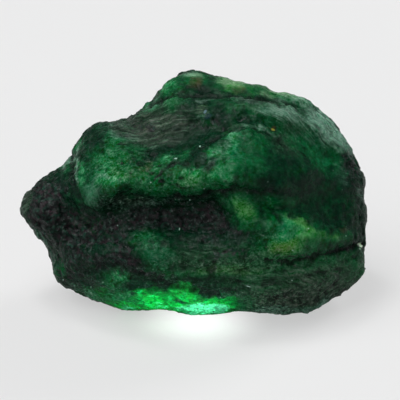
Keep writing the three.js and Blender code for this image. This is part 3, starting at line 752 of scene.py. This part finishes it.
class Nodes:
    """Short calls for adding nodes to a material or a world and joining them up."""

    def __init__(self, owner, shader="BSDF_PRINCIPLED"):
        owner.use_nodes = True
        self.tree = owner.node_tree
        self.shader = next(n for n in self.tree.nodes if n.type == shader)

    def fill(self, inputs, values):
        """Sets inputs, given by name or number, to plain values or joins them to other nodes."""
        for name, value in values.items():
            if isinstance(value, bpy.types.NodeSocket):
                self.tree.links.new(value, inputs[name])
            else:
                inputs[name].default_value = value

    def add(self, kind, values, **settings):
        """The outputs of a new node."""
        node = self.tree.nodes.new("ShaderNode" + kind)
        for name, setting in settings.items():
            setattr(node, name, setting)
        self.fill(node.inputs, values)
        return node.outputs

    def share(self, name):
        return self.add("Attribute", {}, attribute_name=name)["Fac"]

    def place(self, name):
        return self.add("Attribute", {}, attribute_name=name)["Vector"]

    def math(self, operation, first, second=0.0, third=0.0):
        return self.add("Math", {0: first, 1: second, 2: third}, operation=operation)[0]

    def multiply(self, first, second):
        return self.math("MULTIPLY", first, second)

    def sway(self, value, noise, amount):
        """The value, moved up and down by a noise that runs from 0 to 1."""
        return self.math("MULTIPLY_ADD", self.math("SUBTRACT", noise, 0.5), amount, value)

    def between(self, share, first, second):
        """A number between two others."""
        return self.math("MULTIPLY_ADD", self.math("SUBTRACT", second, first), share, first)

    def ramp(self, value, low, high, to_low=0.0, to_high=1.0):
        values = {0: value, 1: low, 2: high, 3: to_low, 4: to_high}
        return self.add("MapRange", values, interpolation_type="SMOOTHSTEP")[0]

    def vector_math(self, operation, *vectors):
        return self.add("VectorMath", dict(enumerate(vectors)), operation=operation)

    def shaded(self, colour, amount, greyness):
        """The colour made lighter and a little greyer above 0, darker and a little purer below 0."""
        grey = self.add("RGBToBW", {0: colour})[0]
        step = self.mix(greyness, colour, grey)
        moved = self.vector_math("MULTIPLY_ADD", step, amount, colour)[0]
        return self.vector_math("MAXIMUM", moved, (0.0, 0.0, 0.0))[0]

    def noise(self, vector, scale, detail=3.0, roughness=0.55, distortion=0.0):
        values = {"Vector": vector, "Scale": scale, "Detail": detail, "Roughness": roughness}
        return self.add("TexNoise", {**values, "Distortion": distortion})["Fac"]

    def cells(self, vector, scale):
        """Small chips: two numbers of each one's own, and the distance from its middle."""
        chips = self.add("TexVoronoi", {"Vector": vector, "Scale": scale})
        own = self.add("SeparateColor", {0: chips["Color"]})
        return own[0], own[1], chips["Distance"]

    def lines(self, noise, width):
        """Thin lines that meander where a noise passes its middle."""
        return self.ramp(self.math("ABSOLUTE", self.math("SUBTRACT", noise, 0.5)), width, 0.0)

    def mix(self, share, first, second):
        return self.add("Mix", {"Factor": share, "A": first, "B": second}, data_type="RGBA")["Result"]

    def spot(self, vector, at, size, turn):
        """A small sharp oval on the face."""
        values = {0: vector, 1: (*at, 0), 2: (0, 0, math.radians(turn)), 3: (*size, 100)}
        inside = self.add("Mapping", values, vector_type="TEXTURE")[0]
        return self.ramp(self.vector_math("LENGTH", inside)["Value"], 1.2, 0.4)

    def bump(self, height, strength, distance, **normal):
        """Low relief, laid over another bump where a Normal is given."""
        values = {"Height": height, "Strength": strength, "Distance": distance, **normal}
        return self.add("Bump", values)[0]


class Patterns:
    """The noises that the colours of the stone are drawn with, in millimetres."""

    def __init__(self, nodes):
        everywhere = nodes.place("face_place")
        self.cloud = nodes.noise(everywhere, 0.33, 3.0, 0.5, 0.5)
        self.blotch = nodes.noise(everywhere, 0.8, 2.0, 0.5, 0.6)
        self.mottle = nodes.noise(everywhere, 1.1, 4.0, 0.55, 0.3)
        self.speckle = nodes.noise(everywhere, 2.3, 2.0, 0.6)
        self.grain = nodes.noise(everywhere, 3.2, 3.0, 0.6)
        self.glint_dots = nodes.noise(everywhere, 4.2, 1.0)
        meander = nodes.noise(everywhere, 0.6, 4.0, 0.62, 0.8)
        self.wrinkles = nodes.multiply(nodes.lines(meander, 0.035), nodes.ramp(self.mottle, 0.6, 0.42))
        self.flake, self.other_flake, self.flake_middle = nodes.cells(everywhere, 2.0)
        cut, beds = nodes.share("cut"), nodes.place("rock_place")
        veil = nodes.noise(nodes.vector_math("MULTIPLY", beds, (0.13, 1.0, 0.13))[0], 1.25, 5.0, 0.7, 0.3)
        hairs = nodes.noise(nodes.vector_math("MULTIPLY", beds, (0.11, 1.0, 0.11))[0], 3.0, 3.0, 0.6, 0.2)
        self.veil = nodes.between(cut, self.mottle, veil)
        self.hairs = nodes.between(cut, self.speckle, hairs)


def beryl(nodes, patterns, uneven):
    """Clouded green, from deep to bright, bluer or more olive in places."""
    bright = nodes.sway(nodes.share("green"), patterns.cloud, 0.6)
    bright = nodes.sway(bright, patterns.blotch, 0.7)
    bright = nodes.sway(bright, patterns.mottle, 0.25)
    bright = nodes.sway(bright, patterns.veil, 0.15)
    tint = nodes.sway(nodes.share("tone"), patterns.cloud, 0.6)
    colour = nodes.mix(nodes.ramp(bright, -0.05, 0.55), DEEP_GREEN, MIDDLE_GREEN)
    top = nodes.mix(nodes.ramp(tint, 0.0, 1.0), BRIGHT_GREEN, TEAL)
    top = nodes.mix(nodes.ramp(tint, 0.0, -1.0), top, OLIVE)
    colour = nodes.mix(nodes.ramp(bright, 0.3, 1.15), colour, top)
    # the lightest green, with painted highlights among it
    light = nodes.sway(nodes.share("light"), patterns.blotch, nodes.multiply(uneven, 0.7))
    light = nodes.sway(light, patterns.speckle, 0.5)
    lightest_and_highlight = nodes.mix(nodes.ramp(tint, 0.0, -0.8), LIGHT_GREEN_AND_HIGHLIGHT, LIGHT_OLIVE_AND_HIGHLIGHT)
    return nodes.mix(nodes.ramp(light, 0.15, 1.0, 0.0, 0.75), colour, lightest_and_highlight)


def weathering_and_sheen(nodes, patterns, colour, uneven):
    """Pale weathered areas and painted sheen and light, veins and painted highlights, and rust."""
    streaky = nodes.multiply(uneven, 1.05)
    paleness_and_sheen = nodes.sway(nodes.sway(nodes.share("pale"), patterns.veil, streaky), patterns.hairs, streaky)
    pale = nodes.mix(nodes.ramp(nodes.share("tone"), 0.0, -0.5), PALE_AND_SHEEN_GREEN, PALE_AND_SHEEN_OLIVE)
    colour = nodes.mix(nodes.ramp(paleness_and_sheen, 0.1, 1.0, 0.0, 0.9), colour, pale)
    vein = nodes.multiply(nodes.share("vein"), nodes.ramp(patterns.mottle, 0.35, 0.6, 0.3, 0.9))
    colour = nodes.mix(vein, colour, VEIN_AND_HIGHLIGHT_PALE)
    rust = nodes.sway(nodes.share("rust"), patterns.mottle, 1.0)
    return nodes.mix(nodes.ramp(rust, 0.2, 0.9, 0.0, 0.7), colour, RUSTY)


def schist(nodes, patterns, colour):
    """Dull grey beds, dark and light by turns, where the streaks are."""
    streaks = nodes.share("streaks")
    colour = nodes.mix(nodes.ramp(streaks, 0.0, 1.0, 0.0, 0.85), colour, SCHIST)
    dark = nodes.multiply(nodes.ramp(patterns.veil, 0.54, 0.36), nodes.ramp(streaks, -0.3, 0.9, 0.0, 0.75))
    colour = nodes.mix(dark, colour, SCHIST_DARK)
    grey = nodes.multiply(nodes.ramp(patterns.veil, 0.48, 0.66), nodes.ramp(streaks, 0.1, 1.0, 0.0, 0.6))
    return nodes.mix(grey, colour, SCHIST_GREY)


def lit_glass(nodes, patterns, colour):
    """Clear parts of the foot, painted with the glow of the lamp's light shining through them; the lamp
    lights them as well.
    """
    clear = nodes.sway(nodes.sway(nodes.share("glass_glow"), patterns.cloud, 0.5), patterns.blotch, 0.9)
    clear = nodes.multiply(clear, nodes.ramp(nodes.share("glass_glow"), 0.02, 0.3))
    glow_core = nodes.sway(nodes.sway(nodes.share("glow_core"), patterns.blotch, 0.6), patterns.speckle, 0.4)
    glass_glow = nodes.mix(nodes.ramp(patterns.blotch, 0.5, 0.7), GLOW_GREEN, GLOW_LIGHT)
    glass_glow = nodes.mix(nodes.ramp(glow_core, 0.2, 0.75), glass_glow, GLOW_WHITE)
    colour = nodes.mix(nodes.ramp(clear, 0.05, 0.35), colour, GLOW_DEEP)
    colour = nodes.mix(nodes.ramp(clear, 0.2, 0.95), colour, glass_glow)
    wrinkles = nodes.multiply(patterns.wrinkles, nodes.ramp(clear, 0.0, 0.2, 0.0, 0.7))
    return nodes.mix(wrinkles, colour, GLASS_DARK)


def mica_cover(nodes, patterns, uneven):
    """How much black mica covers the green: ragged at its edges, thicker in low places as painted shade,
    and none on the lit foot.
    """
    ragged = nodes.sway(nodes.share("mica"), patterns.mottle, nodes.multiply(uneven, 1.2))
    ragged = nodes.sway(nodes.sway(ragged, patterns.flake, 0.4), patterns.speckle, 0.45)
    ragged = nodes.math("MULTIPLY_ADD", nodes.share("hollow"), nodes.multiply(uneven, 0.3), ragged)
    bare = nodes.ramp(nodes.share("glass_glow"), 0.1, 0.5, 1.0, 0.0)
    return nodes.multiply(nodes.ramp(ragged, 0.3, 0.95), bare)


def mica(nodes, patterns, colour, covered):
    """Black mica in small flakes: some greenish, some purplish, painted glints on a few, and painted shade
    in the creases.
    """
    black = nodes.mix(nodes.ramp(patterns.mottle, 0.46, 0.68), MICA_AND_SHADE_BLACK, MICA_GREEN)
    black = nodes.mix(nodes.ramp(patterns.other_flake, 0.55, 0.95, 0.0, 0.8), black, MICA_PURPLE)
    shine = nodes.multiply(nodes.ramp(patterns.flake, 0.7, 0.95), nodes.ramp(patterns.grain, 0.42, 0.62))
    black = nodes.mix(nodes.multiply(shine, 0.75), black, MICA_GLINT_GREY)
    black = nodes.mix(nodes.ramp(patterns.glint_dots, 0.62, 0.74, 0.0, 0.6), black, MICA_GLINT_GREY)
    colour = nodes.mix(nodes.multiply(covered, 0.96), colour, black)
    # painted shade: the creases darkened with black
    return nodes.mix(nodes.multiply(nodes.share("crease_shade"), 0.6), colour, MICA_AND_SHADE_BLACK)


def glints_and_specks(nodes, patterns, colour):
    """Painted glints on the few flakes that catch the light, and specks of other minerals."""
    place = nodes.place("face_place")
    chance = nodes.ramp(patterns.flake, 0.9945, 0.998)
    total = nodes.multiply(chance, nodes.ramp(patterns.flake_middle, 0.22, 0.1, 0.0, 0.4))
    for at, size, turn in GLINT_FLECKS:
        total = nodes.math("MAXIMUM", total, nodes.spot(place, at, size, turn))
    on_front = nodes.ramp(nodes.add("SeparateXYZ", {0: place})[2], -3.0, 0.0)
    colour = nodes.mix(nodes.multiply(total, on_front), colour, GLINT_WHITE)
    for at, size, turn, own_colour, amount in SPECKS:
        speck = nodes.sway(nodes.spot(place, at, size, turn), patterns.grain, 0.5)
        share = nodes.multiply(nodes.ramp(speck, 0.2, 0.8, 0.0, amount), on_front)
        colour = nodes.mix(share, colour, linear(*own_colour))
    return colour


def foliation(nodes, uneven):
    """How far the fine lines along the beds show: most of all where the stone is grey or pale."""
    foliated = nodes.math("MAXIMUM", nodes.share("streaks"), nodes.share("pale"))
    return nodes.multiply(nodes.ramp(foliated, 0.0, 0.6, 0.08, 1.0), uneven)


def light_and_dark(nodes, patterns, colour, uneven, foliated):
    """Painted shade in low places of the relief, and fine light and dark hairs along the grey beds."""
    hollow = nodes.sway(nodes.share("hollow"), patterns.grain, 0.8)
    dark = nodes.multiply(nodes.ramp(hollow, 0.3, 1.0, 0.0, 0.7), uneven)
    colour = nodes.mix(dark, colour, SHADE_AND_HAIR_DARK)
    dark_hair = nodes.multiply(nodes.ramp(patterns.hairs, 0.48, 0.28, 0.0, 0.75), foliated)
    colour = nodes.mix(dark_hair, colour, SHADE_AND_HAIR_DARK)
    light_hair = nodes.multiply(nodes.ramp(patterns.hairs, 0.54, 0.7, 0.0, 0.35), foliated)
    return nodes.mix(light_hair, colour, LIGHT_HAIR)


def speckled(nodes, patterns, colour, uneven, foliated):
    """The colour with fine dark specks, fewer and brighter light ones, and dark wrinkles."""
    strength = nodes.multiply(uneven, nodes.ramp(foliated, 0.0, 1.0, 1.0, 0.65))
    amount = nodes.sway(0.0, patterns.speckle, nodes.multiply(strength, 1.7))
    amount = nodes.sway(amount, patterns.grain, nodes.multiply(strength, 1.35))
    amount = nodes.sway(amount, patterns.mottle, nodes.multiply(strength, 1.2))
    lighter = nodes.math("MAXIMUM", amount, 0.0)
    amount = nodes.math("MULTIPLY_ADD", lighter, lighter, nodes.multiply(amount, 0.85))
    amount = nodes.math("MULTIPLY_ADD", patterns.wrinkles, -0.45, amount)
    greyness = nodes.ramp(nodes.share("glass_glow"), 0.0, 0.4, 0.8, 0.02)
    return nodes.shaded(colour, nodes.math("MAXIMUM", amount, -0.7), greyness)


def emerald_material():
    """Glassy green beryl with black mica over it and grey beds running through it."""
    material = bpy.data.materials.new("emerald_in_mica")
    nodes = Nodes(material)
    patterns = Patterns(nodes)
    uneven = nodes.ramp(nodes.share("smooth"), -1.0, 1.0, 1.65, 0.35)
    foliated = foliation(nodes, uneven)
    covered = mica_cover(nodes, patterns, uneven)

    colour = beryl(nodes, patterns, uneven)
    colour = weathering_and_sheen(nodes, patterns, colour, uneven)
    colour = schist(nodes, patterns, colour)
    colour = light_and_dark(nodes, patterns, colour, uneven, foliated)
    colour = lit_glass(nodes, patterns, colour)
    colour = mica(nodes, patterns, colour, covered)
    colour = speckled(nodes, patterns, colour, uneven, foliated)
    colour = glints_and_specks(nodes, patterns, colour)

    rough = nodes.bump(patterns.grain, 1.0, 0.15 * MM)
    folia = nodes.bump(patterns.hairs, nodes.multiply(foliated, 0.6), 0.08 * MM, Normal=rough)
    nodes.fill(nodes.shader.inputs, {
        "Base Color": colour,
        "Roughness": nodes.sway(nodes.ramp(covered, 0.0, 1.0, 0.22, 0.38), patterns.flake, 0.2),
        "IOR": 1.5,
        "Specular IOR Level": 0.16,
        "Subsurface Weight": 0.12,
        "Subsurface Radius": (0.2, 1.0, 0.45),
        "Subsurface Scale": 1.0 * MM,
        "Normal": nodes.bump(patterns.flake, 0.6, 0.08 * MM, Normal=folia),
    })
    return material


# Stage

FLOOR_SIDE = 3.0  # metres
FLOOR_GREY = (0.29, 0.29, 0.29, 1)
FLOOR_PALER = (0.31, 0.31, 0.31, 1)
FLOOR_GLOW = 0.52  # how bright the floor looks by its own light
FLOOR_LIGHT = 0.205  # how much of that light reaches the stone
FLOOR_GLOSS = 0.04  # and how much shows in the stone's gloss
ROOM_COLOUR = (0.92, 0.95, 1.0, 1)
ROOM_LIGHT = 0.12
BACKDROP = (0.8, 0.8, 0.8, 1)
LAMP_PLACE = (-4.0, -19.0, 0.4)  # millimetres, just in front of the foot
LAMP_TILT = math.radians(42)  # from straight up towards the stone
LAMP_SIZE = (24.0, 3.0)  # millimetres
LAMP_POWER = 0.0030
PAINTED_LAMP_SPOT = (1.0, -11.5, 0.0)  # middle of the lamp's painted spot on the floor, in millimetres
PAINTED_LAMP_SPOT_RADIUS = 14.0  # millimetres
PAINTED_SPOT_GLOW = 1.02
CAMERA_AWAY = 0.6  # metres, from the middle of the face
CAMERA_AIM = (0.75, -0.37)  # right and up from the middle of the face, in millimetres
SEEN_WIDTH = 74.9  # width of the picture at the stone, in millimetres
SENSOR = 36.0


def floor_material():
    """Pale floor that is lit from below as well as from above, as a light table is."""
    material = bpy.data.materials.new("pale_floor")
    nodes = Nodes(material)
    place = nodes.add("TexCoord", {})["Object"]
    away = nodes.vector_math("DISTANCE", place, [length * MM for length in PAINTED_LAMP_SPOT])["Value"]
    # the lamp's spot, painted into the floor's own glow; the lamp itself lights only the stone
    spot = nodes.ramp(away, PAINTED_LAMP_SPOT_RADIUS * MM, 0.0, FLOOR_GLOW, PAINTED_SPOT_GLOW)
    path = nodes.add("LightPath", {})
    light = nodes.ramp(path["Is Glossy Ray"], 0.0, 1.0, FLOOR_LIGHT, FLOOR_GLOSS)
    nodes.fill(nodes.shader.inputs, {
        "Base Color": nodes.mix(nodes.noise(place, 6.0, 2.0), FLOOR_GREY, FLOOR_PALER),
        "Roughness": 0.7,
        "Specular IOR Level": 0.1,
        "Emission Color": (1.0, 1.0, 1.0, 1),
        "Emission Strength": nodes.ramp(path["Is Camera Ray"], 0.0, 1.0, light, spot),
    })
    return material


def face_to_world(across, up, out=0.0):
    """A place on the face, in millimetres, as a place in the scene, in metres."""
    x = across
    y = up * math.sin(LEAN) - out * math.cos(LEAN)
    z = up * math.cos(LEAN) + out * math.sin(LEAN)
    return Vector((FACE_MIDDLE + np.array([x, y, z])) * MM)


def aim(obj, place, target):
    obj.location = place
    obj.rotation_euler = (target - place).to_track_quat("-Z", "Y").to_euler()


def make_camera():
    """The camera looks straight at the broad face, from above the horizon by its lean."""
    data = bpy.data.cameras.new("camera")
    data.sensor_width = SENSOR
    data.lens = SENSOR * CAMERA_AWAY / (SEEN_WIDTH * MM)
    camera = add_object("camera", data)
    aim(camera, face_to_world(*CAMERA_AIM, CAMERA_AWAY / MM), face_to_world(*CAMERA_AIM))
    bpy.context.scene.camera = camera


def make_floor():
    mesh = bpy.data.meshes.new("floor")
    half = FLOOR_SIDE / 2
    corners = [(-half, -half, 0), (half, -half, 0), (half, half, 0), (-half, half, 0)]
    mesh.from_pydata(corners, [], [(0, 1, 2, 3)])
    mesh.materials.append(floor_material())
    add_object("floor", mesh)


def area_light(name, place, target, size, power, shape="RECTANGLE"):
    data = bpy.data.lights.new(name, "AREA")
    data.shape = shape
    data.size, data.size_y = size
    data.energy = power
    light = add_object(name, data)
    aim(light, Vector(place), Vector(target))
    return light


def make_lamp(stone):
    """The small lamp that shines up into the foot of the stone, and lights nothing else."""
    place = Vector(LAMP_PLACE) * MM
    target = place + Vector((0, math.sin(LAMP_TILT), math.cos(LAMP_TILT)))
    lamp = area_light("foot_lamp", place, target, [size * MM for size in LAMP_SIZE], LAMP_POWER, "ELLIPSE")
    lamp.visible_camera = False
    lamp.visible_glossy = False
    lit = bpy.data.collections.new("lit_by_the_foot_lamp")
    lit.objects.link(stone)
    lamp.light_linking.receiver_collection = lit


def make_room():
    """A dim room, which shows pale behind the floor."""
    world = bpy.data.worlds.new("soft_room")
    nodes = Nodes(world, "BACKGROUND")
    nodes.fill(nodes.shader.inputs, {"Color": ROOM_COLOUR, "Strength": ROOM_LIGHT})
    seen = nodes.add("Background", {"Color": BACKDROP})[0]
    camera_ray = nodes.add("LightPath", {})["Is Camera Ray"]
    room = nodes.add("MixShader", {0: camera_ray, 1: nodes.shader.outputs[0], 2: seen})[0]
    output = next(n for n in nodes.tree.nodes if n.type == "OUTPUT_WORLD")
    nodes.fill(output.inputs, {"Surface": room})
    bpy.context.scene.world = world


def make_lights(stone):
    """A soft light from the left, two small ones for gloss, one from behind on the right, and the lamp."""
    middle = (0.0, 0.0, 0.02)
    key = area_light("key", (-0.38, -0.25, 0.78), middle, (0.8, 0.8), 6.3)
    key.visible_glossy = False
    area_light("gloss", (-0.15, 0.05, 0.70), middle, (0.15, 0.15), 1.0)
    glints = area_light("glints", (-0.30, -0.38, 0.58), middle, (0.08, 0.08), 1.6)
    glints.visible_diffuse = False
    right_back = area_light("right_back", (0.50, 0.45, 0.40), middle, (0.30, 0.4), 3.0)
    right_back.visible_glossy = False
    make_lamp(stone)
    make_room()
    bpy.context.scene.view_settings.view_transform = "Standard"


make_camera()
make_floor()
make_lights(make_stone(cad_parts["rough_emerald"]))
